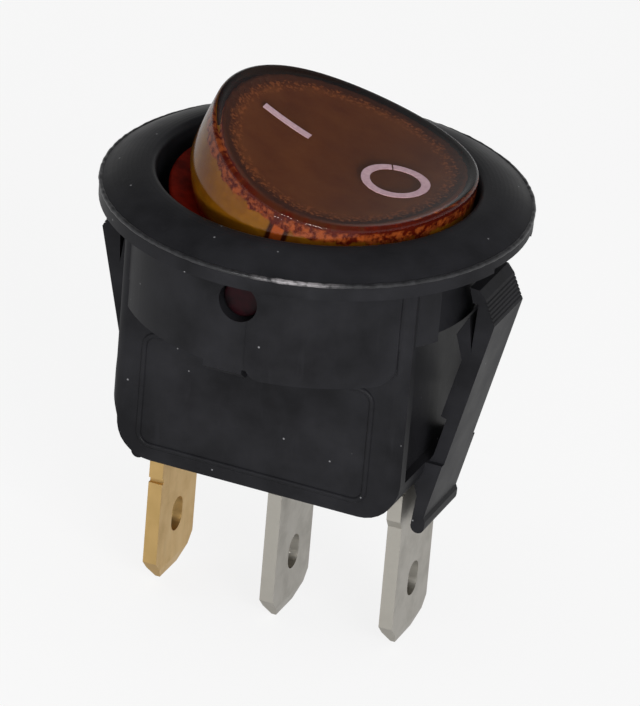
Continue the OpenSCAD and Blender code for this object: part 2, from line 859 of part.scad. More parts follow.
// Tab bent off a blade's top for a lamp spring to stand on
module spring_seat(side) {
    inner = side * (spring_x - coil_r - wire_d - 0.2);
    outer = side * (tab_x + tab_t / 2);
    box(min(inner, outer), max(inner, outer), -1.5, 1.5, seat_tab_z - tab_t, seat_tab_z);
}

module common_terminal() {
    top = arm_z - fulcrum_gap;
    horn_y = waist_w / 2 + horn_fit;
    color([0.78, 0.78, 0.76]) {
        blade(0, tab_end - middle_drop, top, true);
        for (side = [-1, 1])
            box(-tab_t / 2, tab_t / 2, side * (horn_y + tab_w / 2) / 2 - (tab_w / 2 - horn_y) / 2,
                side * (horn_y + tab_w / 2) / 2 + (tab_w / 2 - horn_y) / 2, top - eps, arm_top + 0.5);
    }
}

module load_terminal() {
    color([0.78, 0.78, 0.76])
        difference() {
            union() {
                blade(tab_x, tab_end, seat_tab_z, true);
                spring_seat(1);
                box(contact_x - contact_d / 2 - 0.2, tab_x, -tab_w / 2 + 0.5, tab_w / 2 - 0.5, load_z, fixed_z);
            }
            translate([contact_x, 0, load_z - 1])
                cylinder(d = rivet_d + 2 * seat, h = 3, $fn = 48);
        }
}

module lamp_terminal() {
    notch_z = -body_depth - 3.4;
    color([0.85, 0.68, 0.3])
        difference() {
            union() {
                blade(-tab_x, tab_end, seat_tab_z, false);
                spring_seat(-1);
            }
            for (side = [-1, 1])
                box(-tab_x - 1, -tab_x + 1, side * (tab_w / 2 + 0.3) - 0.5, side * (tab_w / 2 + 0.3) + 0.5,
                    notch_z, notch_z + 0.3);
        }
}

housing();
rocker();
lamp_carrier();
neon_lamp();
lamp_wire_in();
lamp_wire_link();
lamp_wire_out();
resistor();
spring_cap_left();
spring_cap_right();
lamp_spring_left();
lamp_spring_right();
plunger();
plunger_spring();
contact_arm();
moving_contact();
fixed_contact();
common_terminal();
load_terminal();
lamp_terminal();
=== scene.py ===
import math

import bpy
from mathutils import Matrix, Vector, noise


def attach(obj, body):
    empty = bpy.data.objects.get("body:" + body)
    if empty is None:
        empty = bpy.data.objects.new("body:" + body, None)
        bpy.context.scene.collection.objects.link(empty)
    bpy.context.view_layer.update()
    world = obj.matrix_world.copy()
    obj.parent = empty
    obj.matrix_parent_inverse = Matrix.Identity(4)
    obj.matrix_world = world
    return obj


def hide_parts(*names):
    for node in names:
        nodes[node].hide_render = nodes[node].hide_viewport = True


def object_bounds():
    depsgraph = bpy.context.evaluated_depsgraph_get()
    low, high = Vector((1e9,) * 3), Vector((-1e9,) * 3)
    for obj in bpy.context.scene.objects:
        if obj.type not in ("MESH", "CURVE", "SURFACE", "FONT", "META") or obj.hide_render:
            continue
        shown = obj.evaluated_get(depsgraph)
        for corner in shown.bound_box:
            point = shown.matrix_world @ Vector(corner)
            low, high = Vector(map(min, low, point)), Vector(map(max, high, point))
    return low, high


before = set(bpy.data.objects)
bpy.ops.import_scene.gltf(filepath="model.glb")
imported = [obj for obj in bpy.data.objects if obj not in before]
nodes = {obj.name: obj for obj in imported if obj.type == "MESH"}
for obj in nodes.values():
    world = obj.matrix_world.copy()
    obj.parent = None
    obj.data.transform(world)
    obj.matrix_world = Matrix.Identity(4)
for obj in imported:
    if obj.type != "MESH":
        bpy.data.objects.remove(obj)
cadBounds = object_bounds()
mm = 0.001
print("frame loaded:", len(nodes), "nodes")

view = {
    "turn": 21.34,          # degrees round to the right of the front
    "rise": 26.15,
    "roll": 4.9,
    "distance": 350,
    "aimHeight": -7,
    "lens": 335.6,
    "shift": (0.0197, -0.0418),
}


def makeCamera():
    turn = math.radians(view["turn"])
    rise = math.radians(view["rise"])
    roll = math.radians(view["roll"])
    ahead = Vector((-math.sin(turn), math.cos(turn), 0))
    side = Vector((math.cos(turn), math.sin(turn), 0))
    up = Vector((0, 0, math.cos(rise))) + ahead * math.sin(rise)
    back = Vector((0, 0, math.sin(rise))) - ahead * math.cos(rise)
    right = side * math.cos(roll) + up * math.sin(roll)
    top = up * math.cos(roll) - side * math.sin(roll)
    aim = Vector((0, 0, view["aimHeight"]))
    data = bpy.data.cameras.new("camera")
    data.lens = view["lens"]
    data.sensor_width = 36
    data.shift_x, data.shift_y = view["shift"]
    data.clip_start = 0.01
    data.clip_end = 10
    camera = bpy.data.objects.new("camera", data)
    turned = Matrix((right, top, back)).transposed().to_4x4()
    camera.matrix_world = Matrix.Translation((aim + back * view["distance"]) * mm) @ turned
    bpy.context.scene.collection.objects.link(camera)
    bpy.context.scene.camera = camera


makeCamera()
print("camera made")


# Adds a mesh, given in millimetres, that rides on one of the bodies
def addPiece(name, points, faces, place=None, body="housing", smooth=True):
    mesh = bpy.data.meshes.new(name)
    mesh.from_pydata([Vector(p) * mm for p in points], [], faces)
    mesh.validate()
    mesh.polygons.foreach_set("use_smooth", [smooth] * len(mesh.polygons))
    piece = bpy.data.objects.new(name, mesh)
    bpy.context.scene.collection.objects.link(piece)
    if place is not None:
        piece.matrix_world = place
    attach(piece, body)
    return piece


# Angles that go once round in equal steps
def turnsOf(steps):
    return [2 * math.pi * k / steps for k in range(steps)]


# Values that go evenly from first to last
def along(first, last, steps):
    return [first + (last - first) * i / steps for i in range(steps + 1)]


def turnedOver(faces):
    return [tuple(reversed(face)) for face in faces]


# Joins rings of points into a skin; a closed one goes round to its start, the others get a lid at each end
def skin(rings, closed=False):
    count = len(rings[0])
    points = [point for ring in rings for point in ring]
    faces = []
    for i in range(len(rings) if closed else len(rings) - 1):
        a = i * count
        b = (i + 1) % len(rings) * count
        for k in range(count):
            n = (k + 1) % count
            faces.append((a + k, a + n, b + n, b + k))
    if not closed:
        faces.append(tuple(reversed(range(count))))
        faces.append(tuple(range(len(points) - count, len(points))))
    return points, faces


# A colour as it is seen, 0 to 255, turned into the linear value that Blender wants
def shade(color):
    return tuple(c / 255 / 12.92 if c <= 10 else ((c / 255 + 0.055) / 1.055) ** 2.4 for c in color) + (1,)


# Short ways to add and join shader nodes
class Wiring:
    def __init__(self, tree):
        self.tree = tree

    def node(self, kind, **values):
        made = self.tree.nodes.new(kind)
        for key, value in values.items():
            setattr(made, key, value)
        return made

    def join(self, source, target):
        self.tree.links.new(source, target)

    def feed(self, socket, value):
        if isinstance(value, tuple):
            socket.default_value = shade(value)
        elif isinstance(value, (int, float)):
            socket.default_value = value
        else:
            self.join(value, socket)

    def coords(self, kind="Object"):
        return self.node("ShaderNodeTexCoord").outputs[kind]

    def split(self, source):
        made = self.node("ShaderNodeSeparateXYZ")
        self.join(source, made.inputs[0])
        return made.outputs

    def reckon(self, how, first, second=0):
        made = self.node("ShaderNodeMath", operation=how)
        self.feed(made.inputs[0], first)
        self.feed(made.inputs[1], second)
        return made.outputs[0]

    def plus(self, first, second):
        return self.reckon("ADD", first, second)

    def minus(self, first, second):
        return self.reckon("SUBTRACT", first, second)

    def times(self, first, second):
        return self.reckon("MULTIPLY", first, second)

    def larger(self, first, second):
        return self.reckon("MAXIMUM", first, second)

    # Distance from a value, whichever side it is on
    def away(self, source, middle):
        return self.reckon("ABSOLUTE", self.minus(source, middle))

    def ramp(self, source, low, high, first=0.0, second=1.0):
        made = self.node("ShaderNodeMapRange")
        for name, value in zip(("From Min", "From Max", "To Min", "To Max"), (low, high, first, second)):
            made.inputs[name].default_value = value
        self.join(source, made.inputs["Value"])
        return made.outputs["Result"]

    # A ramp whose ends, given in millimetres, are where a band begins and where it is full
    def band(self, source, ends):
        return self.ramp(source, ends[0] * mm, ends[1] * mm)

    def mixShaders(self, amount, first, second):
        made = self.node("ShaderNodeMixShader")
        for socket, source in zip(made.inputs, (amount, first, second)):
            self.join(source, socket)
        return made.outputs[0]

    # 1 for the camera and for what a gloss or the clear shell shows, 0 for the rest
    def seen(self):
        path = self.node("ShaderNodeLightPath").outputs
        shown = self.larger(path["Is Camera Ray"], path["Is Glossy Ray"])
        return self.larger(shown, path["Is Transmission Ray"])


# One material, with the patterns that this switch's finishes are made of
class Finish(Wiring):
    sockets = {
        "roughness": "Roughness",
        "metallic": "Metallic",
        "specular": "Specular IOR Level",
        "ior": "IOR",
        "coat": "Coat Weight",
        "transmission": "Transmission Weight",
        "subsurface": "Subsurface Weight",
    }

    def __init__(self, name):
        self.material = bpy.data.materials.new(name)
        self.material.use_nodes = True
        super().__init__(self.material.node_tree)
        self.shader = self.tree.nodes["Principled BSDF"]

    # Cloudy noise whose lumps are about size millimetres
    def grain(self, size, detail=3.0, rough=0.55, stretch=(1, 1, 1)):
        mapping = self.node("ShaderNodeMapping")
        mapping.inputs["Scale"].default_value = stretch
        self.join(self.coords(), mapping.inputs["Vector"])
        made = self.node("ShaderNodeTexNoise")
        made.inputs["Scale"].default_value = 1 / (size * mm)
        made.inputs["Detail"].default_value = detail
        made.inputs["Roughness"].default_value = rough
        self.join(mapping.outputs["Vector"], made.inputs["Vector"])
        return made.outputs["Fac"]

    # Distance from the nearest of many scattered specks
    def specks(self, size):
        made = self.node("ShaderNodeTexVoronoi")
        made.inputs["Scale"].default_value = 1 / (size * mm)
        self.join(self.coords(), made.inputs["Vector"])
        return made.outputs["Distance"]

    def blend(self, amount, first, second):
        made = self.node("ShaderNodeMix", data_type="RGBA")
        for socket, value in zip((made.inputs[0], made.inputs[6], made.inputs[7]), (amount, first, second)):
            self.feed(socket, value)
        return made.outputs[2]

    def bump(self, height, strength, depth):
        made = self.node("ShaderNodeBump")
        made.inputs["Strength"].default_value = strength
        made.inputs["Distance"].default_value = depth * mm
        self.join(height, made.inputs["Height"])
        self.join(made.outputs["Normal"], self.shader.inputs["Normal"])

    def set(self, **values):
        for key, value in values.items():
            self.shader.inputs[self.sockets[key]].default_value = value

    def paint(self, color):
        self.join(color, self.shader.inputs["Base Color"])

    # Roughness that goes from first to second with the source
    def wear(self, source, first, second):
        self.join(self.ramp(source, 0.3, 0.7, first, second), self.shader.inputs["Roughness"])


def dressNode(name, finish):
    materials = nodes[name].data.materials
    materials.clear()
    materials.append(finish.material)


def dress(piece, finish):
    piece.data.materials.append(finish.material)


plastic = {
    "color": (24, 24, 26),
    "wearAndPaintedHighlight": (37, 37, 40),
    "dust": (120, 120, 122),
    "dustCell": 1.3,        # about one dust speck in each cell of this size
    "roughness": (0.3, 0.44),
    "specular": 0.1,
}


# Matt black moulding: cloudy, lightly scuffed up and down, with a few specks of dust
def makePlastic():
    finish = Finish("mouldedBlack")
    cloud = finish.grain(3.5, detail=4)
    pores = finish.grain(0.12, detail=2)
    streak = finish.grain(0.5, detail=3, stretch=(1, 1, 0.18))
    tone = finish.blend(finish.ramp(cloud, 0.35, 0.7), plastic["color"], plastic["wearAndPaintedHighlight"])
    tone = finish.blend(finish.ramp(streak, 0.62, 0.74, 0, 0.35), tone, plastic["wearAndPaintedHighlight"])
    onSpeck = finish.ramp(finish.specks(plastic["dustCell"]), 0.05, 0.03)
    finish.paint(finish.blend(onSpeck, tone, plastic["dust"]))
    finish.wear(cloud, *plastic["roughness"])
    finish.set(specular=plastic["specular"])
    finish.bump(finish.plus(finish.times(pores, 0.5), streak), 0.25, 0.02)
    return finish


blades = {
    # rolled faces, sheared edges, stains
    "tinnedBlade": ((214, 210, 202), (194, 190, 181), (182, 179, 172)),
    "brassBlade": ((246, 212, 154), (208, 174, 114), (222, 190, 134)),
}


# Sheet metal whose rolled faces look to the left and right, and whose sheared edges have another tone
def makeSheet(name):
    broad, edge, stain = blades[name]
    finish = Finish(name)
    facing = finish.away(finish.split(finish.coords("Normal"))["X"], 0)
    rolled = finish.grain(0.5, detail=4, stretch=(1, 1, 0.2))
    cloud = finish.grain(1.6, detail=5, rough=0.65)
    tone = finish.blend(finish.ramp(facing, 0.75, 0.92), edge, broad)
    tone = finish.blend(finish.ramp(cloud, 0.45, 0.75, 0, 0.55), tone, stain)
    tone = finish.blend(finish.ramp(rolled, 0.4, 0.75, 0, 0.25), tone, edge)
    finish.paint(tone)
    finish.set(metallic=1.0)
    finish.wear(cloud, 0.4, 0.58)
    finish.bump(rolled, 0.3, 0.015)
    return finish


plainMetals = {
    # colour, roughness
    "tinnedWire": ((190, 188, 184), 0.25),
    "springSteel": ((170, 168, 165), 0.22),
    "brassCap": ((184, 160, 104), 0.3),
    "copperArm": ((186, 122, 88), 0.3),
    "contactSilver": ((205, 203, 198), 0.3),
}


def makePlainMetal(name):
    color, roughness = plainMetals[name]
    finish = Finish(name)
    cloud = finish.grain(0.6, detail=3)
    darker = tuple(int(c * 0.75) for c in color)
    finish.paint(finish.blend(finish.ramp(cloud, 0.3, 0.7), color, darker))
    finish.set(metallic=1.0)
    finish.wear(cloud, roughness, roughness + 0.15)
    finish.bump(cloud, 0.15, 0.01)
    return finish


tints = {
    # two colours, size of the clouds between them, shader values
    "lampGlass": ((255, 214, 190), (250, 190, 160), 1.2,
                  {"roughness": 0.05, "transmission": 0.8, "ior": 1.48}),
    "resistorCoat": ((196, 170, 124), (176, 148, 104), 0.8, {"roughness": 0.45}),
    "nylon": ((214, 210, 198), (200, 194, 180), 0.7, {"roughness": 0.4, "subsurface": 0.1}),
    "carrierPlastic": ((96, 40, 16), (120, 58, 20), 1.4, {"roughness": 0.35, "coat": 0.3}),
    "amberFlange": ((100, 17, 4), (66, 9, 3), 0.9, {"roughness": 0.5, "specular": 0.02}),
    # the pins are painted nearly black, as painted shade of the pivot hole they sit in
    "amberPinPaintedShade": ((15, 9, 11), (34, 9, 14), 0.9, {"roughness": 0.4, "specular": 0.12}),
    "markPaint": ((196, 164, 172), (182, 148, 158), 0.25, {"roughness": 0.55}),
}


def makeTinted(name):
    first, second, size, values = tints[name]
    finish = Finish(name)
    cloud = finish.grain(size, detail=4)
    finish.paint(finish.blend(finish.ramp(cloud, 0.35, 0.65), first, second))
    finish.set(**values)
    finish.bump(cloud, 0.2, 0.02)
    return finish


mouldedBlack = makePlastic()
dressNode("housing", mouldedBlack)
for names, finish in (
    (("common_terminal", "load_terminal"), makeSheet("tinnedBlade")),
    (("lamp_terminal",), makeSheet("brassBlade")),
    (("lamp_wire_in", "lamp_wire_link", "lamp_wire_out"), makePlainMetal("tinnedWire")),
    (("lamp_spring_left", "lamp_spring_right", "plunger_spring"), makePlainMetal("springSteel")),
    (("spring_cap_left", "spring_cap_right"), makePlainMetal("brassCap")),
    (("contact_arm",), makePlainMetal("copperArm")),
    (("moving_contact", "fixed_contact"), makePlainMetal("contactSilver")),
    (("neon_lamp",), makeTinted("lampGlass")),
    (("resistor",), makeTinted("resistorCoat")),
    (("plunger",), makeTinted("nylon")),
    (("lamp_carrier",), makeTinted("carrierPlastic")),
):
    for name in names:
        dressNode(name, finish)
print("CAD nodes dressed")

rocker = {
    "tilt": 13.9,
    "pivotDepth": 1.6,
    "faceHeight": 4.88,
    "faceRadius": 21,       # the hollow of the touch face
    "rim": 7.2,
    "oval": 0.7,            # how much wider it is along the pivot
    "neckHeight": 0.6,
    "neckIn": 0.95,
    "bellyHeight": 3.0,
    "bellyOut": 0.34,
    "fullness": 1.4,        # how flat the belly's curve is
    "edge": 0.24,           # rounding of the rim
    "wall": (0.6, 0.65),    # thickness of the clear side, at the neck and from the belly up
    "top": 0.36,            # thickness of the clear face
    "low": 0.55,            # foot of the clear shell
}
rockerPlace = (Matrix.Translation((0, 0, -rocker["pivotDepth"] * mm))
               @ Matrix.Rotation(math.radians(rocker["tilt"]), 4, "Y"))


def faceAt(x):
    radius = rocker["faceRadius"]
    return rocker["faceHeight"] + radius - math.sqrt(radius * radius - x * x)


# Radius of the side, at a height below the rim's rounding
def sideRadius(height, top):
    belly = rocker["bellyHeight"]
    full = rocker["rim"] + rocker["bellyOut"]
    if height < belly:
        below = (belly - height) / (belly - rocker["neckHeight"])
        return full - rocker["neckIn"] * min(below, 1) ** rocker["fullness"]
    above = (height - belly) / (top - belly)
    return full - rocker["bellyOut"] * min(above, 1) ** rocker["fullness"]


def wallAt(height):
    neck, belly = rocker["wall"]
    rise = (height - rocker["neckHeight"]) / (rocker["bellyHeight"] - rocker["neckHeight"])
    return neck + (belly - neck) * min(max(rise, 0), 1)


# One surface of a cup-shaped part of the rocker, from its foot up the side and over to the middle.
# inset is how far it lies inside the outer side, drop how far below the touch face.
def cupSurface(around, inset, drop, edge, low, upSteps, roughen=None):
    arcSteps = 7
    faceSteps = 26

    def pointAt(a, kind, fraction):
        rimHeight = faceAt(rocker["rim"] * math.cos(a))
        cutHeight = rimHeight - drop - edge
        outerTop = rimHeight - rocker["edge"]
        cutRadius = sideRadius(cutHeight, outerTop) - inset(cutHeight)
        oval = rocker["oval"]
        if kind == "side":
            height = low + (cutHeight - low) * fraction
            radius = sideRadius(height, outerTop) - inset(height)
        elif kind == "edge":
            turn = fraction * math.pi / 2
            height = cutHeight + edge * math.sin(turn)
            radius = cutRadius - edge * (1 - math.cos(turn))
        else:
            radius = (cutRadius - edge) * fraction
            height = faceAt(radius * math.cos(a)) - drop
        if roughen:
            radius, height = roughen(kind, fraction, a, radius, height, cutHeight)
        if kind == "face":
            oval *= radius / rocker["rim"]
        return radius * math.cos(a), (radius + oval) * math.sin(a), height

    # the rings over the face are closer together near the rim
    stops = [("side", i / upSteps) for i in range(upSteps + 1)]
    stops += [("edge", i / arcSteps) for i in range(1, arcSteps + 1)]
    stops += [("face", (i / faceSteps) ** 0.7) for i in range(faceSteps - 1, 0, -1)]
    rings = [[pointAt(a, kind, fraction) for a in turnsOf(around)] for kind, fraction in stops]
    return rings, (0, 0, faceAt(0) - drop)


# Joins an outer and an inner surface into one closed cup
def addCup(name, outer, inner):
    outerRings, outerTop = outer
    innerRings, innerTop = inner
    rings = list(reversed(outerRings)) + innerRings
    count = len(rings[0])
    points = [point for ring in rings for point in ring]
    last = len(points) - count
    faces = []
    for start in range(0, last, count):
        for k in range(count):
            n = (k + 1) % count
            faces.append((start + n, start + k, start + count + k, start + count + n))
    points += [outerTop, innerTop]
    for k in range(count):
        n = (k + 1) % count
        faces.append((k, n, len(points) - 2))
        faces.append((last + n, last + k, len(points) - 1))
    return addPiece(name, points, faces, rockerPlace, "rocker")


coreSizes = {
    "low": 1.3,
    "wall": 0.3,
    "top": 0.95,
    "overlap": 0.02,        # how far it reaches into the clear shell
    "edge": 0.22,
    "hollowEdge": 0.2,
}


# The clear cup that a finger touches
def makeShell():
    around = 256
    low = rocker["low"]
    outer = cupSurface(around, lambda height: 0, 0, rocker["edge"], low, upSteps=26)
    inner = cupSurface(around, wallAt, rocker["top"], coreSizes["edge"], low, upSteps=20)
    return addCup("capShell", outer, inner)


pebbles = {
    "size": 0.3,
    "height": 0.07,
    "sideBand": 1.2,        # width of the rough band down the side, and in over the face
    "faceBand": 0.75,
    "reach": 1.3,           # where the last bumps fade out, in band widths
    "fade": 1.6,            # how quickly they do
    "cover": 0.35,          # a larger value makes the bumps run together
}


# Rough, orange-peel bumps in a band on both sides of the core's upper corner
def addPebbles(kind, fraction, a, radius, height, cutHeight):
    away = {
        "side": (cutHeight - height) / pebbles["sideBand"],
        "edge": 0,
        "face": (1 - fraction) * rocker["rim"] / pebbles["faceBand"],
    }[kind]
    if away > pebbles["reach"]:
        return radius, height
    strength = min(1, (pebbles["reach"] - away) * pebbles["fade"])
    spot = Vector((radius * math.cos(a), radius * math.sin(a), height)) / pebbles["size"]
    lump = noise.noise(spot) + 0.5 * noise.noise(spot * 2.1)
    push = pebbles["height"] * strength * max(0, lump + pebbles["cover"])
    turn = {"side": 0, "edge": fraction, "face": 1}[kind] * math.pi / 2
    return radius + push * math.cos(turn), height + push * math.sin(turn)


# The painted core that shows through the clear shell
def makeCore():
    around = 360
    low = coreSizes["low"]
    overlap = coreSizes["overlap"]
    top = rocker["top"]
    outer = cupSurface(around, lambda height: wallAt(height) - overlap, top - overlap, coreSizes["edge"],
                       low, upSteps=30, roughen=addPebbles)
    inner = cupSurface(around, lambda height: wallAt(height) + coreSizes["wall"], top + coreSizes["top"],
                       coreSizes["hollowEdge"], low, upSteps=10)
    return addCup("capCore", outer, inner)


flangeSizes = {
    "innerRadius": 5.9,
    "outerRadius": 8.2,
    "low": 0.45,
    "thick": 0.4,
}


# The thin ring at the rocker's foot, with a round outer edge
def makeFlange():
    low = flangeSizes["low"]
    bend = flangeSizes["thick"] / 2
    middle = flangeSizes["outerRadius"] - bend
    profile = [(flangeSizes["innerRadius"], low)]
    for degrees in range(-90, 91, 18):
        t = math.radians(degrees)
        profile.append((middle + bend * math.cos(t), low + bend + bend * math.sin(t)))
    profile.append((flangeSizes["innerRadius"], low + flangeSizes["thick"]))
    rings = [[(r * math.cos(a), r * math.sin(a), z) for a in turnsOf(192)] for r, z in profile]
    points, faces = skin(rings, closed=True)
    return addPiece("capFlange", points, faces, rockerPlace, "rocker")


pinSizes = {
    "radius": 1.05,
    "from": 7.4,
    "to": 9.35,
    "roundedEnd": ((0.12, 0), (0.03, 0.04), (0, 0.13)),     # back from the end, in from the radius
    "endRings": (0.6, 0.3),     # rings on its flat end, as shares of the radius
}


# Round pivot pin on one side
def makePin(side, name):
    radius = pinSizes["radius"]
    rows = [(pinSizes["from"], radius)]
    rows += [(pinSizes["to"] - back, radius - inward) for back, inward in pinSizes["roundedEnd"]]
    rows += [(pinSizes["to"], radius * part) for part in pinSizes["endRings"]]
    rings = [[(r * math.cos(a), side * y, r * math.sin(a)) for a in turnsOf(48)] for y, r in rows]
    points, faces = skin(rings)
    if side > 0:
        faces = turnedOver(faces)
    return addPiece(name, points, faces, rockerPlace, "rocker")


lugSizes = {
    "radius": 1.6,
    "from": 7.05,
    "to": 8.15,
    "intoFlange": 0.2,
}


# The half-round ear under the flange that carries a pivot pin
def makeLug(side, name):
    radius = lugSizes["radius"]
    top = flangeSizes["low"] + lugSizes["intoFlange"]
    shape = []
    for degrees in range(180, 361, 12):
        a = math.radians(degrees)
        shape.append((radius * math.cos(a), radius * math.sin(a)))
    shape += [(radius, top), (-radius, top)]
    rings = [[(x, side * math.sqrt(reach * reach - x * x), z) for x, z in shape]
             for reach in along(lugSizes["from"], lugSizes["to"], steps=6)]
    points, faces = skin(rings)
    if side > 0:
        faces = turnedOver(faces)
    return addPiece(name, points, faces, rockerPlace, "rocker", smooth=False)


marks = {
    "stroke": 0.47,
    "raise": 0.03,
    "sink": 0.05,
    "barFrom": -4.88,
    "barTo": -1.98,
    "barSide": 0.12,
    "ringAt": 3.28,
    "ringSide": -0.3,
    "ringOuter": 1.82,
    "gapAngle": 118,        # middle of the ring's narrow gap, and its width, in degrees
    "gap": 3,
}


# A flat print that follows the hollow face, given as rows of points across its stroke
def addPrint(name, rows):
    rings = []
    for row in rows:
        upper = [(x, y, faceAt(x) + marks["raise"]) for x, y in row]
        lower = [(x, y, faceAt(x) - marks["sink"]) for x, y in row]
        rings.append(upper + lower[::-1])
    points, faces = skin(rings)
    return addPiece(name, points, faces, rockerPlace, "rocker", smooth=False)


def makeOnMark():
    across = [marks["barSide"] + marks["stroke"] / 2 * part for part in (1, 0.33, -0.33, -1)]
    rows = [[(x, y) for y in across] for x in along(marks["barFrom"], marks["barTo"], steps=20)]
    return addPrint("markOn", rows)


def makeOffMark():
    radii = [marks["ringOuter"] - marks["stroke"] * part / 3 for part in (3, 2, 1, 0)]
    start = marks["gapAngle"] + marks["gap"] / 2
    rows = []
    for degrees in along(start, start + 360 - marks["gap"], steps=120):
        a = math.radians(degrees)
        rows.append([(marks["ringAt"] + r * math.cos(a), marks["ringSide"] + r * math.sin(a)) for r in radii])
    return addPrint("markOff", rows)


clearAmber = {
    "color": (226, 186, 150),
    "deeper": (214, 170, 132),
    "ior": 1.4,
    "roughness": 0.05,
    "specular": 0.09,
}


def makeShellFinish():
    finish = Finish("amberShell")
    cloud = finish.ramp(finish.grain(2.2, detail=3), 0.35, 0.65)
    finish.paint(finish.blend(cloud, clearAmber["color"], clearAmber["deeper"]))
    finish.set(transmission=1.0, ior=clearAmber["ior"], roughness=clearAmber["roughness"],
               specular=clearAmber["specular"])
    finish.bump(finish.grain(2.5, detail=2), 0.04, 0.02)
    return finish


coreLook = {
    "face": (105, 61, 34),
    "faceLight": (122, 77, 43),
    "ring": (150, 92, 52),
    "margin": (74, 42, 28),
    "pebble": (150, 82, 42),
    "deep": (78, 22, 12),
    "side": (140, 104, 22),
    "sideDark": (116, 78, 18),
    "sideBack": (60, 36, 22),
    "rib": (160, 84, 36),
    "ribShadow": (52, 22, 10),
    "foot": (96, 18, 6),
    # where each band begins and where it is full, in millimetres
    "backFrom": (-1.5, 2.5),
    "footFrom": (1.9, 1.35),
    "frontFrom": (0, -1),
    "ribMiddle": 0.14,
    "ribHalf": (0.34, 0.26),
    "ribShadowHalf": (0.62, 0.5),
    "pebblesUnder": (0.78, 0.66),
    "cornerUnder": (0.2, 0.1),
    "marginOut": (5.75, 6.2),
    "ringInner": (5.4, 5.6),
    "ringOuter": (6.25, 6.1),
    "ringSquash": 0.91,     # the ring is an oval that is longer along the pivot
    "wobble": 0.9,          # how unsteadily the edges of the rough bands run
}


def makeCoreFinish():
    finish = Finish("paintedCore")
    x, y, z = finish.split(finish.coords())
    up = finish.split(finish.coords("Normal"))["Z"]
    cloud = finish.grain(2.5, detail=4)
    fine = finish.grain(0.3, detail=3)
    lump = finish.grain(0.36, detail=3)
    crumb = finish.grain(0.2, detail=2)
    wobble = finish.times(finish.minus(finish.grain(0.6, detail=3), 0.5), coreLook["wobble"] * mm)
    # depth under the core's own top, which rises towards both ends
    rise = finish.times(finish.times(x, x), 1 / (2 * rocker["faceRadius"] * mm))
    under = finish.minus(finish.plus(rise, (rocker["faceHeight"] - rocker["top"]) * mm), z)
    # the side: smooth ochre, darker towards the back and redder at the foot
    side = finish.blend(finish.ramp(cloud, 0.35, 0.65), coreLook["side"], coreLook["sideDark"])
    side = finish.blend(finish.band(y, coreLook["backFrom"]), side, coreLook["sideBack"])
    side = finish.blend(finish.band(z, coreLook["footFrom"]), side, coreLook["foot"])
    # the rib at the front
    offRib = finish.away(x, coreLook["ribMiddle"] * mm)
    front = finish.band(y, coreLook["frontFrom"])
    for half, tone in (("ribShadowHalf", "ribShadow"), ("ribHalf", "rib")):
        onRib = finish.times(finish.band(offRib, coreLook[half]), front)
        side = finish.blend(onRib, side, coreLook[tone])
    # the rough band just under the corner, then the dark corner itself
    rough = finish.blend(finish.ramp(lump, 0.42, 0.6), coreLook["deep"], coreLook["pebble"])
    side = finish.blend(finish.band(finish.plus(under, wobble), coreLook["pebblesUnder"]), side, rough)
    side = finish.blend(finish.band(under, coreLook["cornerUnder"]), side, coreLook["deep"])
    # the touch face, with a thin ring of small pebbles near its margin
    face = finish.blend(finish.ramp(cloud, 0.3, 0.7), coreLook["face"], coreLook["faceLight"])
    face = finish.blend(finish.ramp(fine, 0.55, 0.8, 0, 0.12), face, coreLook["ribShadow"])
    flat = finish.node("ShaderNodeCombineXYZ")
    finish.join(x, flat.inputs[0])
    finish.join(finish.times(y, coreLook["ringSquash"]), flat.inputs[1])
    reach = finish.node("ShaderNodeVectorMath", operation="LENGTH")
    finish.join(flat.outputs[0], reach.inputs[0])
    out = finish.plus(reach.outputs["Value"], finish.times(wobble, 0.6))
    ring = finish.times(finish.band(out, coreLook["ringInner"]), finish.band(out, coreLook["ringOuter"]))
    ring = finish.times(ring, finish.ramp(crumb, 0.5, 0.62))
    face = finish.blend(finish.band(out, coreLook["marginOut"]), face, coreLook["margin"])
    face = finish.blend(ring, face, coreLook["ring"])
    finish.paint(finish.blend(finish.ramp(up, 0.35, 0.7), side, face))
    finish.set(roughness=0.8, specular=0.0)
    return finish


shell = makeShell()
core = makeCore()
flange = makeFlange()
pins = [makePin(-1, "pinFront"), makePin(1, "pinBack")]
lugs = [makeLug(-1, "lugFront"), makeLug(1, "lugBack")]
prints = [makeOnMark(), makeOffMark()]
shell.visible_shadow = False
for pieces, finish in (
    ([shell], makeShellFinish()),
    ([core], makeCoreFinish()),
    ([flange] + lugs, makeTinted("amberFlange")),
    (pins, makeTinted("amberPinPaintedShade")),
    (prints, makeTinted("markPaint")),
):
    for piece in pieces:
        dress(piece, finish)
for piece in [shell, core, flange] + pins + lugs:
    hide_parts("rocker")
print("rocker made")

mouldLine = {
    "left": -6.46,
    "right": 6.6,
    "high": -6.7,
    "low": -13.2,
    "corner": 0.7,
    "face": 6.15,           # how far out the body's face is
    "width": 0.28,
    "raise": 0.1,
    "sink": 0.1,
    "crown": 0.45,          # how much of its width is flat on top
    "shoulder": 0.4,        # how far up its sides stay upright
}


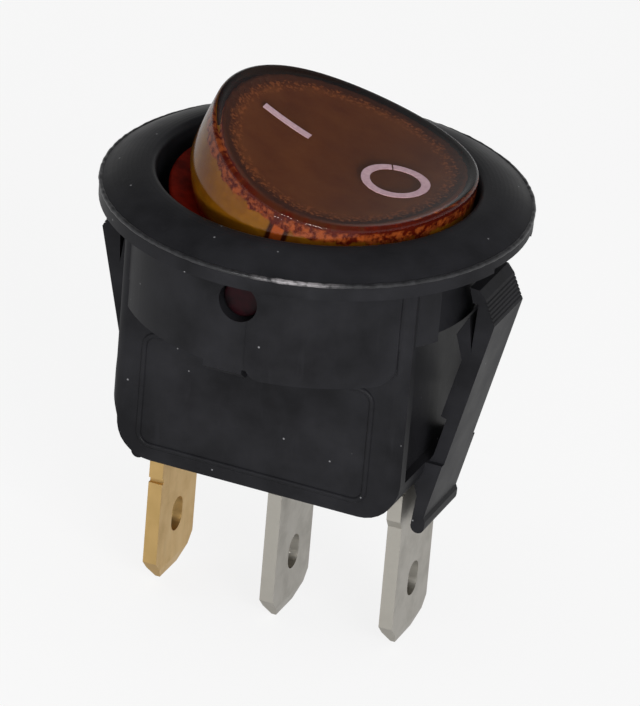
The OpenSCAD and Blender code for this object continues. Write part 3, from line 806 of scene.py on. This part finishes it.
# The raised line on a broad face of the body, a rectangle with round corners
def makeMouldLine(side, name):
    corner = mouldLine["corner"]
    left = mouldLine["left"] + corner
    right = mouldLine["right"] - corner
    high = mouldLine["high"] - corner
    low = mouldLine["low"] + corner
    half = mouldLine["width"] / 2
    top = mouldLine["raise"]
    foot = -mouldLine["sink"]
    section = [(-half, foot), (-half, top * mouldLine["shoulder"]), (-half * mouldLine["crown"], top)]
    section += [(-out, height) for out, height in reversed(section)]
    rings = []
    for middleX, middleZ, start in ((right, high, 0), (left, high, 90), (left, low, 180), (right, low, 270)):
        for degrees in range(start, start + 91, 15):
            a = math.radians(degrees)
            rings.append([(side * (middleX + (corner + out) * math.cos(a)),
                           side * (mouldLine["face"] + height),
                           middleZ + (corner + out) * math.sin(a)) for out, height in section])
    points, faces = skin(rings, closed=True)
    return addPiece(name, points, turnedOver(faces))


for side, name in ((1, "mouldLineBack"), (-1, "mouldLineFront")):
    dress(makeMouldLine(side, name), mouldedBlack)
print("mould lines made")

bead = {
    "reach": 11.42,
    "height": 0.82,
    "thick": 0.13,
    "rough": 0.03,
    "wave": 0.015,
    "lumps": 28,                # about this many to a radian
    "color": (26, 26, 28),
    "second": (46, 46, 48),
    # pale colour of a highlight painted on the front of the bead
    "paintedHighlight": (140, 136, 138),
    "paintedHighlightAt": 3.5,
    "paintedHighlightHalf": (2.4, 0.3),   # half widths of the painted highlight, at its first trace and where it is full
    "frontFrom": (0, -1),
}


# Rough bead where the bezel's crown meets its band
def makeBead():
    rings = []
    for a in turnsOf(600):
        spot = Vector((math.cos(a), math.sin(a), 0)) * bead["lumps"]
        thick = bead["thick"] + bead["rough"] * noise.noise(spot)
        lift = bead["wave"] * noise.noise(spot * 0.7 + Vector((9, 4, 2)))   # from another part of the noise
        ring = []
        for t in turnsOf(10):
            reach = bead["reach"] + thick * math.cos(t)
            height = bead["height"] + lift + thick * math.sin(t)
            ring.append((reach * math.cos(a), reach * math.sin(a), height))
        rings.append(ring)
    points, faces = skin(rings, closed=True)
    return addPiece("bezelBead", points, turnedOver(faces))


# Black, with a pale highlight painted on in front
def makeBeadFinish():
    finish = Finish("paintedHighlightEdge")
    x, y = finish.split(finish.coords())[:2]
    # the pale spot in front is a painted highlight, shaped by position and broken up by noise
    wearAndPaintedHighlight = finish.band(finish.away(x, bead["paintedHighlightAt"] * mm), bead["paintedHighlightHalf"])
    wearAndPaintedHighlight = finish.times(wearAndPaintedHighlight, finish.band(y, bead["frontFrom"]))
    wearAndPaintedHighlight = finish.times(wearAndPaintedHighlight, finish.ramp(finish.grain(0.35, detail=4), 0.36, 0.56))
    tone = finish.blend(finish.ramp(finish.grain(0.3, detail=4), 0.35, 0.65), bead["color"], bead["second"])
    finish.paint(finish.blend(wearAndPaintedHighlight, tone, bead["paintedHighlight"]))
    finish.set(roughness=0.3, specular=0.5)
    return finish


dress(makeBead(), makeBeadFinish())
print("bezel bead made")

studio = {
    "sky": 0.38,                    # how strongly the sky lights the switch
    "skyGloss": (0.6, 0.08),        # how bright a gloss shows the sky, low down and overhead
    "skyHeights": (0.1, 0.6),       # heights between which it goes from one to the other
    "floorSize": 3.0,
    "floorTone": 0.9,
    "floorGloss": 0.52,             # how bright the floor looks in a gloss
    "shadow": 0.17,                 # how much of the floor takes shadow
    "lampDistance": 0.4,
    # watts, width, height of its face, degrees from the front towards the right, degrees above the floor
    "lamps": {
        "key": (0.75, 0.2, 0.2, 46, 20),
        "glint": (0.8, 0.36, 0.04, 8, 7),       # the only lamp that a gloss shows
        "front": (0.1, 0.3, 0.3, 0, 12),
        "left": (0.12, 0.2, 0.2, -75, 35),
        "above": (0.16, 0.3, 0.3, 10, 80),
    },
}


# White all round for the camera; what a gloss shows of it is dimmer, most of all overhead
def makeWorld():
    world = bpy.data.worlds.new("studio")
    bpy.context.scene.world = world
    world.use_nodes = True
    wiring = Wiring(world.node_tree)
    plain = wiring.tree.nodes["Background"]
    white = wiring.node("ShaderNodeBackground")
    for sky in (plain, white):
        sky.inputs["Color"].default_value = (1, 1, 1, 1)
    plain.inputs["Strength"].default_value = studio["sky"]
    height = wiring.split(wiring.coords("Generated"))["Z"]
    gloss = wiring.ramp(height, *studio["skyHeights"], *studio["skyGloss"])
    cameraRay = wiring.node("ShaderNodeLightPath").outputs["Is Camera Ray"]
    wiring.join(wiring.larger(gloss, cameraRay), white.inputs["Strength"])
    mixed = wiring.mixShaders(wiring.seen(), plain.outputs[0], white.outputs[0])
    wiring.join(mixed, wiring.tree.nodes["World Output"].inputs[0])


# A white floor that still takes a faint shadow
def makeFloor():
    half = studio["floorSize"] / 2
    low = cadBounds[0][2]
    corners = [(-half, -half, low), (half, -half, low), (half, half, low), (-half, half, low)]
    mesh = bpy.data.meshes.new("floor")
    mesh.from_pydata(corners, [], [(0, 1, 2, 3)])
    floor = bpy.data.objects.new("floor", mesh)
    bpy.context.scene.collection.objects.link(floor)
    material = bpy.data.materials.new("paleFloor")
    material.use_nodes = True
    wiring = Wiring(material.node_tree)
    matt = wiring.tree.nodes["Principled BSDF"]
    matt.inputs["Base Color"].default_value = (studio["floorTone"],) * 3 + (1,)
    matt.inputs["Roughness"].default_value = 0.9
    matt.inputs["Specular IOR Level"].default_value = 0.0
    white = wiring.node("ShaderNodeEmission")
    glossyRay = wiring.node("ShaderNodeLightPath").outputs["Is Glossy Ray"]
    wiring.join(wiring.ramp(glossyRay, 0, 1, 1, studio["floorGloss"]), white.inputs["Strength"])
    bright = wiring.times(wiring.seen(), 1 - studio["shadow"])
    mixed = wiring.mixShaders(bright, matt.outputs[0], white.outputs[0])
    wiring.join(mixed, wiring.tree.nodes["Material Output"].inputs[0])
    mesh.materials.append(material)


def makeLamps():
    for name, (watts, wide, high, azimuth, elevation) in studio["lamps"].items():
        a = math.radians(azimuth)
        h = math.radians(elevation)
        place = Vector((math.sin(a) * math.cos(h), -math.cos(a) * math.cos(h), math.sin(h)))
        data = bpy.data.lights.new(name, "AREA")
        data.shape = "ELLIPSE"
        data.size = wide
        data.size_y = high
        data.energy = watts
        lamp = bpy.data.objects.new(name, data)
        lamp.location = place * studio["lampDistance"] + Vector((0, 0, view["aimHeight"] * mm))
        lamp.rotation_euler = (-place).to_track_quat("-Z", "Y").to_euler()
        lamp.visible_glossy = name == "glint"
        lamp.visible_transmission = name == "glint"
        bpy.context.scene.collection.objects.link(lamp)


makeWorld()
makeFloor()
makeLamps()
bpy.context.scene.view_settings.view_transform = "Standard"
print("light and floor made")
